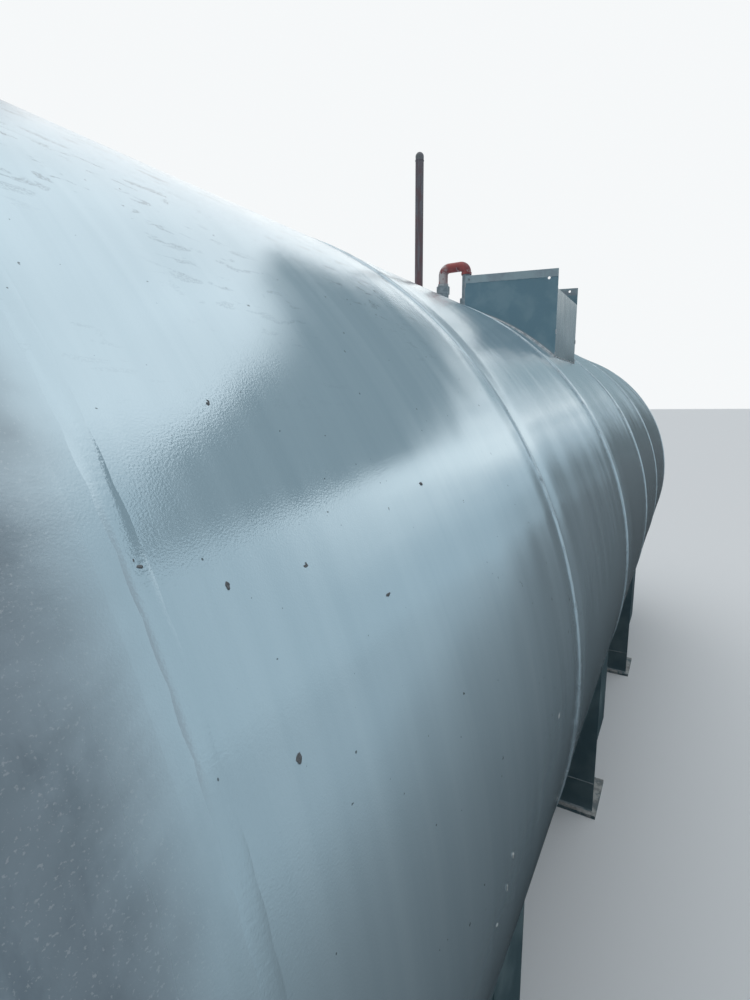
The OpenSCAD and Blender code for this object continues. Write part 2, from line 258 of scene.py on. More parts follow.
broken = noise_node(rolled, rolled_in.outputs["Vector"], 420.0, 2.0, 0.6)
broken = step_node(rolled, broken, 0.40, 0.56)
scuffs = times(rolled, step_node(rolled, streaks, 0.58, 0.63), step_node(rolled, patches, 0.44, 0.54))
scuffs = times(rolled, scuffs, broken)
scuffs = times(rolled, scuffs, first_course)
wire(rolled, times(rolled, scuffs, near_crown), rolled_out.inputs["Scuffs"])
grains = noise_node(rolled, rolled_in.outputs["Vector"], 90.0, 2.0, 0.55)
wire(rolled, step_node(rolled, grains, 0.745, 0.77), rolled_out.inputs["Grit"])

enamel, tree, shader, where = new_material("silver_enamel")
coat = place_group(tree, rolled, Vector=where)
tint = mix_node(tree, coat.outputs["Rounds"], ENAMEL_DARK, ENAMEL_LIGHT)
tint = mix_node(tree, coat.outputs["Scuffs"], tint, SCUFF)
tint = mix_node(tree, coat.outputs["Grit"], tint, SCUFF)
wire(tree, tint, shader.inputs["Base Color"])
shader.inputs["Metallic"].default_value = 0.55
wire(tree, step_node(tree, coat.outputs["Rounds"], 0.0, 1.0, 0.08, 0.14), shader.inputs["Roughness"])
from_seam = math_node(tree, "SUBTRACT", split(tree, where)[0], SEAM_START)
from_seam = math_node(tree, "PINGPONG", from_seam, SEAM_PITCH / 2)
dip = step_node(tree, from_seam, 0.0, DIP_REACH)
buckles = noise_node(tree, stretched(tree, where, (3.0, 2.4, 2.4)), 1.0, 1.0, 0.4, 0.4)
buckles = times(tree, buckles, step_node(tree, from_seam, SEAM_PITCH / 2, 0.0))
waves = bump(tree, coat.outputs["Waves"], WAVE_DEPTH)
waves = bump(tree, dip, DIP_DEPTH, None, waves)
waves = bump(tree, buckles, BUCKLE_DEPTH, None, waves)
bump(tree, coat.outputs["Peel"], PEEL_DEPTH, shader, waves)
paint(enamel, "shell_course_1", "shell_course_2", "shell_course_3", "shell_course_4", "shell_course_5")

# The shell's enamel covers the far head and laps over the near head's rim. Past the knuckle of the
# near head a duller, much darker coat is painted: partly painted shade where the head turns away from
# the light, partly an older coat stained brown and violet, with pale grit in it.
KNUCKLE_X = 3.123
LAP_FRINGE = (-0.075, 0.015)
HEAD_SHADED_DARK = (0.26, 0.32, 0.36, 1.0)
HEAD_SHADED_LIGHT = (0.38, 0.46, 0.52, 1.0)
HEAD_STAIN = (0.19, 0.18, 0.21, 1.0)
HEAD_MOTTLE = (0.12, 0.16, 0.20, 1.0)
HEAD_SPECK = (0.72, 0.74, 0.76, 1.0)

head_enamel, tree, shader, where = new_material("head_enamel")
coat = place_group(tree, rolled, Vector=where)
blotches = noise_node(tree, where, 3.2, 5.0, 0.6, 0.8)
fresh = mix_node(tree, coat.outputs["Rounds"], ENAMEL_DARK, ENAMEL_LIGHT)
# The darker coat's base tones are partly painted shade where the near head turns away from the light.
old_coat_and_shade = mix_node(tree, step_node(tree, blotches, 0.3, 0.7), HEAD_SHADED_DARK, HEAD_SHADED_LIGHT)
stain = step_node(tree, noise_node(tree, where, 1.6, 4.0, 0.5, 0.3), 0.44, 0.74, 0.0, 0.65)
old_coat_and_shade = mix_node(tree, stain, old_coat_and_shade, HEAD_STAIN)
mottle = noise_node(tree, stretched(tree, where, (26.0, 20.0, 9.0)), 1.0, 5.0, 0.6, 0.2)
old_coat_and_shade = mix_node(tree, step_node(tree, mottle, 0.48, 0.68, 0.0, 0.35), old_coat_and_shade, HEAD_MOTTLE)
specks = step_node(tree, noise_node(tree, where, 420.0, 2.0, 0.6), 0.60, 0.70, 0.0, 0.35)
old_coat_and_shade = mix_node(tree, specks, old_coat_and_shade, HEAD_SPECK)
past = times(tree, split(tree, where)[0], -1.0)
lap = plus(tree, past, times(tree, blotches, -0.12))
# This mask starts the duller coat and its painted shade at the near head's knuckle.
dull_and_shaded = step_node(tree, lap, KNUCKLE_X + LAP_FRINGE[0], KNUCKLE_X + LAP_FRINGE[1])
wire(tree, mix_node(tree, dull_and_shaded, fresh, old_coat_and_shade), shader.inputs["Base Color"])
wire(tree, step_node(tree, dull_and_shaded, 0.0, 1.0, 0.5, 0.3), shader.inputs["Metallic"])
rough = plus(tree, step_node(tree, blotches, 0.2, 0.8, 0.14, 0.22), times(tree, dull_and_shaded, 0.16))
wire(tree, rough, shader.inputs["Roughness"])
waves = bump(tree, coat.outputs["Waves"], 0.003)
bump(tree, coat.outputs["Peel"], 0.0001, shader, waves)
paint(head_enamel, "near_head", "far_head")


def add_piece(name, bm, material, sharp=35.0):
    """Makes a piece of the tank from a bmesh, with sharp edges above an angle."""
    bmesh.ops.recalc_face_normals(bm, faces=bm.faces)
    mesh = bpy.data.meshes.new(name)
    bm.to_mesh(mesh)
    bm.free()
    mesh.materials.append(material)
    mesh.shade_smooth()
    mesh.set_sharp_from_angle(angle=math.radians(sharp))
    piece = bpy.data.objects.new(name, mesh)
    scene.collection.objects.link(piece)
    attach(piece, "root")
    return piece


# The welds between courses and heads are hand-laid caps, painted over with the shell. Each cap
# rises in a low arch and carries the ripples of its runs. The near head's lies almost flush.
WELD_W = 0.026
WELD_CAP = 0.0028
NEAR_CAP = 0.0004
RIPPLE_PITCH = 0.008
RIPPLE_H = 0.00028
RING_STEPS = 3063
RIM = 0.001
SWAY = 0.0009
SHARP_WELD = 60.0
SEAMS = {
    "near_head_weld": (-3.095, NEAR_CAP),
    "girth_weld_1": (-2.005, WELD_CAP),
    "girth_weld_2": (-0.805, WELD_CAP),
    "girth_weld_3": (0.395, WELD_CAP),
    "girth_weld_4": (1.595, WELD_CAP),
    "far_head_weld": (3.095, WELD_CAP),
}
WELD_PAINT = (0.64, 0.77, 0.84, 1.0)
WELD_DIRT = (0.16, 0.19, 0.21, 1.0)


def cap_outline(cap):
    """Place across, as a share of the half width, and height over the shell of a weld cap's profile."""
    arch = [(t, cap * (1.0 - t * t)) for t in (-0.6, -0.2, 0.2, 0.6)]
    return [(-1.0, -0.0006)] + arch + [(1.0, -0.0006), (1.0, -0.003), (-1.0, -0.003)]


def sweep(outline, centre, axis, angle, shift, steps):
    """A closed outline swept in a mesh of its own: a short stretch first, then its copies, merged."""
    stretch = max(2, round(math.sqrt(steps)))
    copies = math.ceil(steps / stretch)
    bm = bmesh.new()
    loop = [bm.verts.new(point) for point in outline]
    sides = [bm.edges.new(pair) for pair in zip(loop, loop[1:] + loop[:1])]
    bmesh.ops.spin(bm, geom=loop + sides, cent=centre, axis=axis, angle=angle / copies,
                   dvec=shift / (copies * stretch), steps=stretch)
    if copies > 1:
        bmesh.ops.spin(bm, geom=bm.verts[:] + bm.edges[:] + bm.faces[:], cent=centre, axis=axis,
                       angle=angle * (copies - 1) / copies, dvec=shift / copies, steps=copies - 1,
                       use_duplicate=True)
        bmesh.ops.remove_doubles(bm, verts=bm.verts, dist=0.00002)
    bmesh.ops.holes_fill(bm, edges=[edge for edge in bm.edges if edge.is_boundary], sides=0)
    return bm


def pour(bm, part):
    """Adds a part's mesh to a piece's mesh."""
    mesh = bpy.data.meshes.new("part")
    part.to_mesh(mesh)
    part.free()
    bm.from_mesh(mesh)
    bpy.data.meshes.remove(mesh)


def ripple(along, t, seed):
    """Height of a weld's ripples at a distance along it, bowed back across it."""
    bow = 0.5 * t * t
    wave = math.cos(math.tau * (along / RIPPLE_PITCH + bow))
    return (1.0 - t * t) * (RIPPLE_H * wave + 0.0006 * noise.noise(Vector((along * 30.0, seed, 0.0))))


weld_enamel, tree, shader, where = new_material("weld_enamel")
coat = place_group(tree, rolled, Vector=where)
dirt = step_node(tree, noise_node(tree, where, 22.0, 4.0, 0.65), 0.5, 0.68, 0.0, 0.55)
wire(tree, mix_node(tree, dirt, WELD_PAINT, WELD_DIRT), shader.inputs["Base Color"])
shader.inputs["Metallic"].default_value = 0.45
wire(tree, step_node(tree, dirt, 0.0, 0.6, 0.22, 0.45), shader.inputs["Roughness"])
bump(tree, coat.outputs["Peel"], 0.0003, shader)

for number, (name, (seam_x, cap)) in enumerate(SEAMS.items()):
    outline = [(seam_x + t * WELD_W / 2, 0.0, AXIS_H + TANK_R + rise) for t, rise in cap_outline(cap)]
    bm = sweep(outline, Vector((seam_x, 0.0, AXIS_H)), (1.0, 0.0, 0.0), math.tau, Vector(), RING_STEPS)
    for vert in bm.verts:
        t = (vert.co.x - seam_x) / (WELD_W / 2)
        out = Vector((0.0, vert.co.y, vert.co.z - AXIS_H))
        if out.length > TANK_R - RIM:
            along = math.atan2(out.y, out.z) * TANK_R
            vert.co += out.normalized() * ripple(along, t, number) * cap / WELD_CAP
            vert.co.x += SWAY * noise.noise(Vector((along * 14.0, t, number)))
    flush = cap == NEAR_CAP
    piece = add_piece(name + "_run", bm, enamel if flush else weld_enamel, SHARP_WELD)
    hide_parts(name)

# One long seam a course joins the plate's ends, on the side turned away from the camera. The
# seams of neighbouring courses are set apart, so that no two meet at a girth seam.
COURSES = ((-3.095, -2.005), (-2.005, -0.805), (-0.805, 0.395), (0.395, 1.595), (1.595, 3.095))
ODD_SEAM = math.radians(52.0)
EVEN_SEAM = math.radians(84.0)
bm = bmesh.new()
for number, (start_x, end_x) in enumerate(COURSES):
    seam_angle = ODD_SEAM if number % 2 == 0 else EVEN_SEAM
    run = end_x - start_x - WELD_W
    outline = [(start_x + WELD_W / 2, t * WELD_W / 2, AXIS_H + TANK_R + rise)
               for t, rise in cap_outline(WELD_CAP)]
    steps = round(run / RIPPLE_PITCH * 3)
    part = sweep(outline, Vector(), (1.0, 0.0, 0.0), 0.0, Vector((run, 0.0, 0.0)), steps)
    for vert in part.verts:
        if vert.co.z > AXIS_H + TANK_R - RIM:
            t = vert.co.y / (WELD_W / 2)
            vert.co.z += ripple(vert.co.x, t, number)
            vert.co.y += SWAY * noise.noise(Vector((vert.co.x * 14.0, t, number)))
    bmesh.ops.rotate(part, verts=part.verts, cent=(0.0, 0.0, AXIS_H),
                     matrix=Matrix.Rotation(-seam_angle, 3, "X"))
    pour(bm, part)
piece = add_piece("long_weld_runs", bm, weld_enamel, SHARP_WELD)
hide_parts("long_welds")

# Grit and drips dried into the paint on the side of the first course: dark flakes near its top and
# pale drops at half height. Each has its distance along the tank, its degrees from the crown towards
# the side, and its half length.
FLAKES = ((-2.955, 56.1, 0.0042), (-3.093, 62.0, 0.0052), (-3.025, 63.7, 0.0040), (-2.926, 64.1, 0.0038),
          (-2.622, 62.1, 0.0050), (-2.811, 67.1, 0.0042), (-3.015, 70.5, 0.0046))
DROPS = ((-2.256, 86.3, 0.0075), (-2.596, 88.6, 0.0060), (-2.626, 90.0, 0.0050), (-2.672, 90.9, 0.0050))
FLAKE_GREY = (0.06, 0.065, 0.07, 1.0)
DROP_WHITE = (0.78, 0.80, 0.78, 1.0)
SPECK_GREY = (0.25, 0.26, 0.27, 1.0)


def wander(place):
    """A noise vector at a place, the same in every run."""
    shifts = (Vector((0.0, 0.0, 0.0)), Vector((31.7, 0.0, 0.0)), Vector((0.0, 47.3, 0.0)))
    return Vector([noise.noise(place + shift) for shift in shifts])


for name, marks, colour in (("grit_flakes", FLAKES, FLAKE_GREY), ("paint_drops", DROPS, DROP_WHITE)):
    material, tree, shader, where = new_material(name)
    tint = mix_node(tree, noise_node(tree, where, 400.0, 3.0), colour, SPECK_GREY)
    wire(tree, tint, shader.inputs["Base Color"])
    shader.inputs["Roughness"].default_value = 0.7
    bump(tree, noise_node(tree, where, 700.0, 3.0), 0.0008, shader)
    bm = bmesh.new()
    for at_x, degrees, size in marks:
        out = Vector((0.0, -math.sin(math.radians(degrees)), math.cos(math.radians(degrees))))
        place = Matrix.Translation(Vector((at_x, 0.0, AXIS_H)) + out * TANK_R)
        facing = out.to_track_quat("Z", "Y").to_matrix().to_4x4()
        facing = facing @ Matrix.Rotation(random.uniform(0.0, 3.0), 4, "Z")
        shape = Matrix.Diagonal((1.0, random.uniform(0.4, 0.7), 0.16, 1.0))
        made = bmesh.ops.create_icosphere(bm, subdivisions=3, radius=size, matrix=place @ facing @ shape)
        for vert in made["verts"]:
            vert.co += 0.35 * size * wander(vert.co * 260.0)
    add_piece(name, bm, material)

# Each saddle is cut from plate and fillet-welded: a cradled web with a joint low on its face, ribs
# and horn plates behind it, a base plate, and a curved pad on the shell. Blue-grey paint covers it,
# and dust and lime lie on the base plate.
BEAD_SIDES = 6
BEAD_STEP = 0.005
FOOT_BEAD = 0.007
PAD_BEAD = 0.006
WEB_JOINT_BEAD = 0.004
WEB_JOINT_H = 0.190
RIB_T = 0.014
BEAD_INSET = 0.005
WRAP_INSET = 0.01
JOINT_INSET = 0.001
PAD_BEAD_OVER = 0.002
SADDLES = (1, 2, 3)
SADDLE_BLUE = (0.100, 0.165, 0.190, 1.0)
SADDLE_PALE = (0.155, 0.225, 0.245, 1.0)
DUST = (0.27, 0.27, 0.26, 1.0)
LIME = (0.50, 0.51, 0.50, 1.0)
BARE_BEAD = (0.30, 0.34, 0.36, 1.0)


def round_outline(middle, across, upward, radius):
    """A round outline about a point, in the plane of two directions."""
    turns = [math.tau * side / BEAD_SIDES for side in range(BEAD_SIDES)]
    return [middle + across * (radius * math.cos(turn)) + upward * (radius * math.sin(turn))
            for turn in turns]


def swell(along, place):
    """How far a bead's ripples swell it at a distance along it."""
    return 1.0 + 0.08 * math.cos(math.pi * along / BEAD_STEP) + 0.25 * noise.noise(place * 35.0)


def lay_bead(bm, start, end, radius):
    """A straight weld bead from start to end, with ripples."""
    start = Vector(start)
    run = Vector(end) - start
    ahead = run.normalized()
    across = ahead.orthogonal().normalized()
    outline = round_outline(start, across, ahead.cross(across), radius)
    part = sweep(outline, start, ahead, 0.0, run, max(2, round(run.length / BEAD_STEP)))
    for vert in part.verts:
        along = (vert.co - start).dot(ahead)
        middle = start + ahead * along
        vert.co = middle + (vert.co - middle) * swell(along, vert.co)
    pour(bm, part)


def lay_arc(bm, at_x, around, first, last, radius):
    """A weld bead round the tank's axis at at_x, between two angles from straight down, with ripples."""
    centre = Vector((at_x, 0.0, AXIS_H))
    out = Vector((0.0, math.sin(first), -math.cos(first)))
    outline = round_outline(centre + out * around, Vector((1.0, 0.0, 0.0)), out, radius)
    steps = max(2, round(abs(last - first) * around / BEAD_STEP))
    part = sweep(outline, centre, (1.0, 0.0, 0.0), last - first, Vector(), steps)
    for vert in part.verts:
        out = Vector((0.0, vert.co.y, vert.co.z - AXIS_H))
        middle = centre + out.normalized() * around
        along = math.atan2(out.y, out.z) * around
        vert.co = middle + (vert.co - middle) * swell(along, vert.co)
    pour(bm, part)


# Dirt on outdoor steel: dust that lies on faces that look up, and blotches and speckles anywhere.
# The scale sets how broad the blotches are.
grime, grime_in, grime_out = new_group(
    "grime", [("Vector", "NodeSocketVector", None), ("Scale", "NodeSocketFloat", 6.0)],
    [("Settled", "NodeSocketFloat"), ("Blotches", "NodeSocketFloat"), ("Speckles", "NodeSocketFloat")])
facing_up = split(grime, grime.nodes.new("ShaderNodeNewGeometry").outputs["Normal"])[2]
broad = noise_node(grime, grime_in.outputs["Vector"], grime_in.outputs["Scale"], 5.0, 0.6, 0.4)
fine = noise_node(grime, grime_in.outputs["Vector"], 190.0, 3.0, 0.6)
lying = step_node(grime, facing_up, 0.6, 0.95)
settled = times(grime, lying, step_node(grime, broad, 0.30, 0.62))
wire(grime, settled, grime_out.inputs["Settled"])
wire(grime, step_node(grime, broad, 0.42, 0.68), grime_out.inputs["Blotches"])
wire(grime, step_node(grime, fine, 0.62, 0.70), grime_out.inputs["Speckles"])

saddle_enamel, tree, shader, where = new_material("saddle_enamel")
dirt = place_group(tree, grime, Vector=where, Scale=5.0)
tint = mix_node(tree, dirt.outputs["Blotches"], SADDLE_BLUE, SADDLE_PALE)
tint = mix_node(tree, times(tree, dirt.outputs["Speckles"], 0.4), tint, DUST)
tint = mix_node(tree, dirt.outputs["Settled"], tint, mix_node(tree, dirt.outputs["Speckles"], DUST, LIME))
wire(tree, tint, shader.inputs["Base Color"])
shader.inputs["Metallic"].default_value = 0.1
wire(tree, step_node(tree, dirt.outputs["Blotches"], 0.0, 1.0, 0.38, 0.6), shader.inputs["Roughness"])
bump(tree, noise_node(tree, where, 300.0, 3.0), 0.0004, shader)

base_enamel, tree, shader, where = new_material("base_enamel")
dirt = place_group(tree, grime, Vector=where, Scale=9.0)
height = split(tree, where)[2]
lime = step_node(tree, noise_node(tree, where, 14.0, 5.0, 0.7), 0.44, 0.62)
lime = times(tree, lime, step_node(tree, height, 0.0, 0.02, 0.5, 0.8))
tint = mix_node(tree, dirt.outputs["Settled"], SADDLE_BLUE, DUST)
tint = mix_node(tree, lime, tint, LIME)
wire(tree, tint, shader.inputs["Base Color"])
shader.inputs["Roughness"].default_value = 0.75
bump(tree, noise_node(tree, where, 120.0, 5.0, 0.65), 0.0012, shader)

bead_steel, tree, shader, where = new_material("saddle_beads")
dirt = place_group(tree, grime, Vector=where, Scale=20.0)
wire(tree, mix_node(tree, dirt.outputs["Blotches"], BARE_BEAD, SADDLE_PALE), shader.inputs["Base Color"])
shader.inputs["Metallic"].default_value = 0.3
shader.inputs["Roughness"].default_value = 0.5
bump(tree, noise_node(tree, where, 600.0, 3.0), 0.0003, shader)

for number in SADDLES:
    saddle = "saddle_%d_" % number
    paint(saddle_enamel, saddle + "pad", saddle + "web", saddle + "ribs", saddle + "horns")
    paint(base_enamel, saddle + "base")
    web_low, web_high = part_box(saddle + "web")
    rib_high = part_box(saddle + "ribs")[1]
    horn_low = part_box(saddle + "horns")[0]
    pad_low, pad_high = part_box(saddle + "pad")
    half_w = web_high[1]
    foot_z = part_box(saddle + "base")[1][2]
    pad_out = AXIS_H - pad_low[2]
    rib_half = RIB_T / 2
    rib_y = rib_high[1] - rib_half
    wrap = math.asin(half_w / pad_out)
    pad_wrap = math.pi / 2 - math.asin((AXIS_H - pad_high[2]) / TANK_R)
    bm = bmesh.new()
    for face_x in (web_low[0], web_high[0]):
        bead_y = half_w - BEAD_INSET
        lay_bead(bm, (face_x, -bead_y, foot_z), (face_x, bead_y, foot_z), FOOT_BEAD)
        lay_arc(bm, face_x, pad_out, -wrap + WRAP_INSET, wrap - WRAP_INSET, PAD_BEAD)
    joint_x = web_low[0] + JOINT_INSET
    joint_y = half_w - JOINT_INSET
    lay_bead(bm, (joint_x, -joint_y, WEB_JOINT_H), (joint_x, joint_y, WEB_JOINT_H), WEB_JOINT_BEAD)
    for edge_x in (pad_low[0], pad_high[0]):
        lay_arc(bm, edge_x, TANK_R + PAD_BEAD_OVER, -pad_wrap, pad_wrap, PAD_BEAD)
    for rib_middle in (-rib_y, 0.0, rib_y):
        for side in (-rib_half, rib_half):
            y = rib_middle + side
            top_z = AXIS_H - math.sqrt(pad_out ** 2 - y * y)
            lay_bead(bm, (web_high[0], y, foot_z), (rib_high[0], y, foot_z), FOOT_BEAD)
            lay_bead(bm, (web_high[0], y, foot_z), (web_high[0], y, top_z), FOOT_BEAD)
    for side in (-1.0, 1.0):
        y = side * (half_w - RIB_T)
        top_z = AXIS_H - math.sqrt(pad_out ** 2 - y * y)
        lay_bead(bm, (web_high[0], y, horn_low[2]), (web_high[0], y, top_z), FOOT_BEAD)
    add_piece(saddle + "beads", bm, bead_steel)

# Anchor studs stand in the base plates' holes, two at each end behind the web, with a washer and a
# hexagon nut each. They are plated steel, gone dull.
STUD_R = 0.012
THREAD_PITCH = 0.003
THREAD_DEPTH = 0.0015
NUT_FLATS = 0.036
NUT_H = 0.0215
WASHER_R = 0.022
WASHER_H = 0.004
STUD_OVER = 0.012
HOLE_X = 0.080
HOLE_EDGE = 0.250
STUD_FOOT = 0.002
TURN_STEPS = 18
WASHER_SIDES = 28
BOLT_PALE = (0.46, 0.47, 0.47, 1.0)
BOLT_BROWN = (0.24, 0.22, 0.20, 1.0)


def threaded_stud(bm, x, y, low, high, radius, pitch, depth):
    """An upright threaded stud: a zigzag profile turned round its axis."""
    turns = round((high - low) / pitch)
    outline = [(0.0, low)]
    for turn_number in range(turns):
        outline.append((radius - depth, low + turn_number * pitch))
        outline.append((radius, low + (turn_number + 0.5) * pitch))
    outline += [(radius - depth, high), (0.0, high)]
    points = [bm.verts.new((x + out, y, z)) for out, z in outline]
    line = [bm.edges.new(pair) for pair in zip(points, points[1:])]
    bmesh.ops.spin(bm, geom=points + line, cent=(x, y, low), axis=(0.0, 0.0, 1.0), angle=math.tau,
                   steps=TURN_STEPS, use_merge=True)
    bmesh.ops.remove_doubles(bm, verts=bm.verts, dist=0.00001)


def edges_of(bm, verts):
    """The edges at some vertices, in the mesh's order."""
    bm.edges.index_update()
    return sorted({edge for vert in verts for edge in vert.link_edges}, key=lambda edge: edge.index)


def hexagon_nut(bm, x, y, low, flats, height, twist):
    """A hexagon nut with bevelled edges."""
    place = Matrix.Translation((x, y, low + height / 2)) @ Matrix.Rotation(twist, 4, "Z")
    made = bmesh.ops.create_cone(bm, cap_ends=True, segments=6, radius1=flats / math.sqrt(3.0),
                                 radius2=flats / math.sqrt(3.0), depth=height, matrix=place)
    bmesh.ops.bevel(bm, geom=edges_of(bm, made["verts"]), offset=0.0011, affect="EDGES", segments=2,
                    profile=0.5, material=-1)


def round_washer(bm, x, y, low, radius, height):
    """A flat washer with bevelled rims."""
    made = bmesh.ops.create_cone(bm, cap_ends=True, segments=WASHER_SIDES, radius1=radius, radius2=radius,
                                 depth=height, matrix=Matrix.Translation((x, y, low + height / 2)))
    rims = [edge for edge in edges_of(bm, made["verts"])
            if abs(edge.verts[0].co.z - edge.verts[1].co.z) < 0.0001]
    bmesh.ops.bevel(bm, geom=rims, offset=0.0006, affect="EDGES", segments=2, profile=0.5, material=-1)


bolt_zinc, tree, shader, where = new_material("bolt_zinc")
dirt = place_group(tree, grime, Vector=where, Scale=60.0)
tint = mix_node(tree, dirt.outputs["Blotches"], BOLT_PALE, BOLT_BROWN)
wire(tree, mix_node(tree, dirt.outputs["Settled"], tint, DUST), shader.inputs["Base Color"])
shader.inputs["Metallic"].default_value = 0.7
wire(tree, step_node(tree, dirt.outputs["Blotches"], 0.0, 1.0, 0.35, 0.65), shader.inputs["Roughness"])
bump(tree, noise_node(tree, where, 500.0, 3.0), 0.0003, shader)

for number in SADDLES:
    base_low, base_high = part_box("saddle_%d_base" % number)
    middle_x = (base_low[0] + base_high[0]) / 2
    top = base_high[2]
    bm = bmesh.new()
    for x in (middle_x - HOLE_X, middle_x + HOLE_X):
        for y in (base_low[1] + HOLE_EDGE, base_high[1] - HOLE_EDGE):
            stud_top = top + WASHER_H + NUT_H + STUD_OVER
            threaded_stud(bm, x, y, STUD_FOOT, stud_top, STUD_R, THREAD_PITCH, THREAD_DEPTH)
            round_washer(bm, x, y, top, WASHER_R, WASHER_H)
            hexagon_nut(bm, x, y, top + WASHER_H, NUT_FLATS, NUT_H, random.uniform(0.0, 1.0))
    add_piece("saddle_%d_anchors" % number, bm, bolt_zinc)

# The valve box is bent and cut from thin sheet and welded to the crown along its foot. Its two
# crosswise plates are painted blue-grey over a paler folded band. Its lengthwise plates are bare
# galvanised sheet.
BOX_BLUE = (0.185, 0.315, 0.380, 1.0)
BOX_WORN = (0.235, 0.365, 0.425, 1.0)
BAND = (0.42, 0.53, 0.56, 1.0)
VIOLET = (0.215, 0.205, 0.270, 1.0)
ZINC_LIGHT = (0.24, 0.30, 0.32, 1.0)
ZINC_DARK = (0.18, 0.23, 0.25, 1.0)
ZINC_GRIME = (0.22, 0.25, 0.27, 1.0)
BOX_FOOT = (0.42, 0.45, 0.46, 1.0)
TACK_PALE = (0.62, 0.64, 0.65, 1.0)
TACK_DARK = (0.30, 0.31, 0.33, 1.0)
EDGE_FALL = 0.022
BAND_W = 0.035
BAND_FRINGE = 0.002
FOOT_STRIP = (0.012, 0.004)
SHEET_T = 0.003
BOX_BEAD = 0.0035
BOX_BEAD_OVER = 0.001
CORNER_BEAD = 0.003
CORNER_RUN = 0.022
CORNER_GAP = 0.110

box_enamel, tree, shader, where = new_material("box_enamel")
dirt = place_group(tree, grime, Vector=where, Scale=9.0)
py, pz = split(tree, where)[1:]
front_low, front_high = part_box("box_front_plate")
slope = -EDGE_FALL / (front_high[1] - front_low[1])
edge_z = plus(tree, pz, times(tree, plus(tree, py, -front_high[1]), slope))
wobble = times(tree, noise_node(tree, where, 26.0, 3.0), 0.008)
band_z = front_high[2] - BAND_W
band = step_node(tree, plus(tree, edge_z, wobble), band_z - BAND_FRINGE, band_z + BAND_FRINGE)
tint = mix_node(tree, dirt.outputs["Blotches"], BOX_BLUE, BOX_WORN)
pale = mix_node(tree, times(tree, dirt.outputs["Blotches"], 0.45), BAND, VIOLET)
tint = mix_node(tree, band, tint, pale)
over_axis = math_node(tree, "POWER", math_node(tree, "SUBTRACT", pz, AXIS_H), 2.0)
from_axis = math_node(tree, "SQRT", plus(tree, math_node(tree, "POWER", py, 2.0), over_axis))
foot = step_node(tree, from_axis, TANK_R + FOOT_STRIP[0], TANK_R + FOOT_STRIP[1], 0.0, 0.7)
tint = mix_node(tree, foot, tint, BOX_FOOT)
tint = mix_node(tree, times(tree, dirt.outputs["Speckles"], 0.25), tint, VIOLET)
wire(tree, tint, shader.inputs["Base Color"])
shader.inputs["Metallic"].default_value = 0.15
wire(tree, step_node(tree, dirt.outputs["Blotches"], 0.0, 1.0, 0.30, 0.48), shader.inputs["Roughness"])
sheet_bow = bump(tree, noise_node(tree, where, 3.0, 1.0), 0.006)
bump(tree, noise_node(tree, where, 220.0, 3.0), 0.0003, shader, sheet_bow)
paint(box_enamel, "box_front_plate", "box_back_plate")

box_zinc, tree, shader, where = new_material("box_galvanising")
dirt = place_group(tree, grime, Vector=where, Scale=12.0)
spangle = tree.nodes.new("ShaderNodeTexVoronoi")
wire(tree, stretched(tree, where, (1.6, 1.6, 0.14)), spangle.inputs["Vector"])
spangle.inputs["Scale"].default_value = 60.0
grain = split(tree, spangle.outputs["Color"])[0]
tint = mix_node(tree, step_node(tree, grain, 0.0, 1.0, 0.35, 0.75), ZINC_DARK, ZINC_LIGHT)
tint = mix_node(tree, times(tree, dirt.outputs["Blotches"], 0.5), tint, ZINC_GRIME)
wire(tree, tint, shader.inputs["Base Color"])
shader.inputs["Metallic"].default_value = 0.85
wire(tree, step_node(tree, grain, 0.0, 1.0, 0.22, 0.30), shader.inputs["Roughness"])
sheet_bow = bump(tree, noise_node(tree, stretched(tree, where, (1.5, 1.5, 5.0)), 1.0, 1.0), 0.010)
bump(tree, noise_node(tree, where, 200.0, 2.0), 0.00004, shader, sheet_bow)
paint(box_zinc, "box_outer_plate", "box_inner_plate")

tack_steel, tree, shader, where = new_material("tack_steel")
dirt = place_group(tree, grime, Vector=where, Scale=50.0)
tint = mix_node(tree, dirt.outputs["Blotches"], TACK_PALE, TACK_DARK)
wire(tree, tint, shader.inputs["Base Color"])
shader.inputs["Metallic"].default_value = 0.6
shader.inputs["Roughness"].default_value = 0.4
bump(tree, noise_node(tree, where, 800.0, 2.0), 0.0002, shader)

outer_low, outer_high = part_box("box_outer_plate")
front_x = outer_low[0] - SHEET_T
back_x = outer_high[0] + SHEET_T
outer_y = outer_low[1]
inner_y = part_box("box_inner_plate")[1][1]
outer_turn = math.asin(outer_y / TANK_R)
inner_turn = math.asin(inner_y / TANK_R)
bm = bmesh.new()
for plate_x in (front_x, back_x):
    lay_arc(bm, plate_x, TANK_R + BOX_BEAD_OVER, math.pi - outer_turn, math.pi - inner_turn, BOX_BEAD)
for plate_y in (outer_y, inner_y):
    foot_z = AXIS_H + math.sqrt(TANK_R ** 2 - plate_y ** 2) + BOX_BEAD_OVER
    lay_bead(bm, (front_x, plate_y, foot_z), (back_x, plate_y, foot_z), BOX_BEAD)
    for corner_x in (front_x + SHEET_T / 2, back_x - SHEET_T / 2):
        for low_z in (foot_z, foot_z + CORNER_GAP):
            lay_bead(bm, (corner_x, plate_y, low_z), (corner_x, plate_y, low_z + CORNER_RUN), CORNER_BEAD)
add_piece("box_beads", bm, tack_steel)

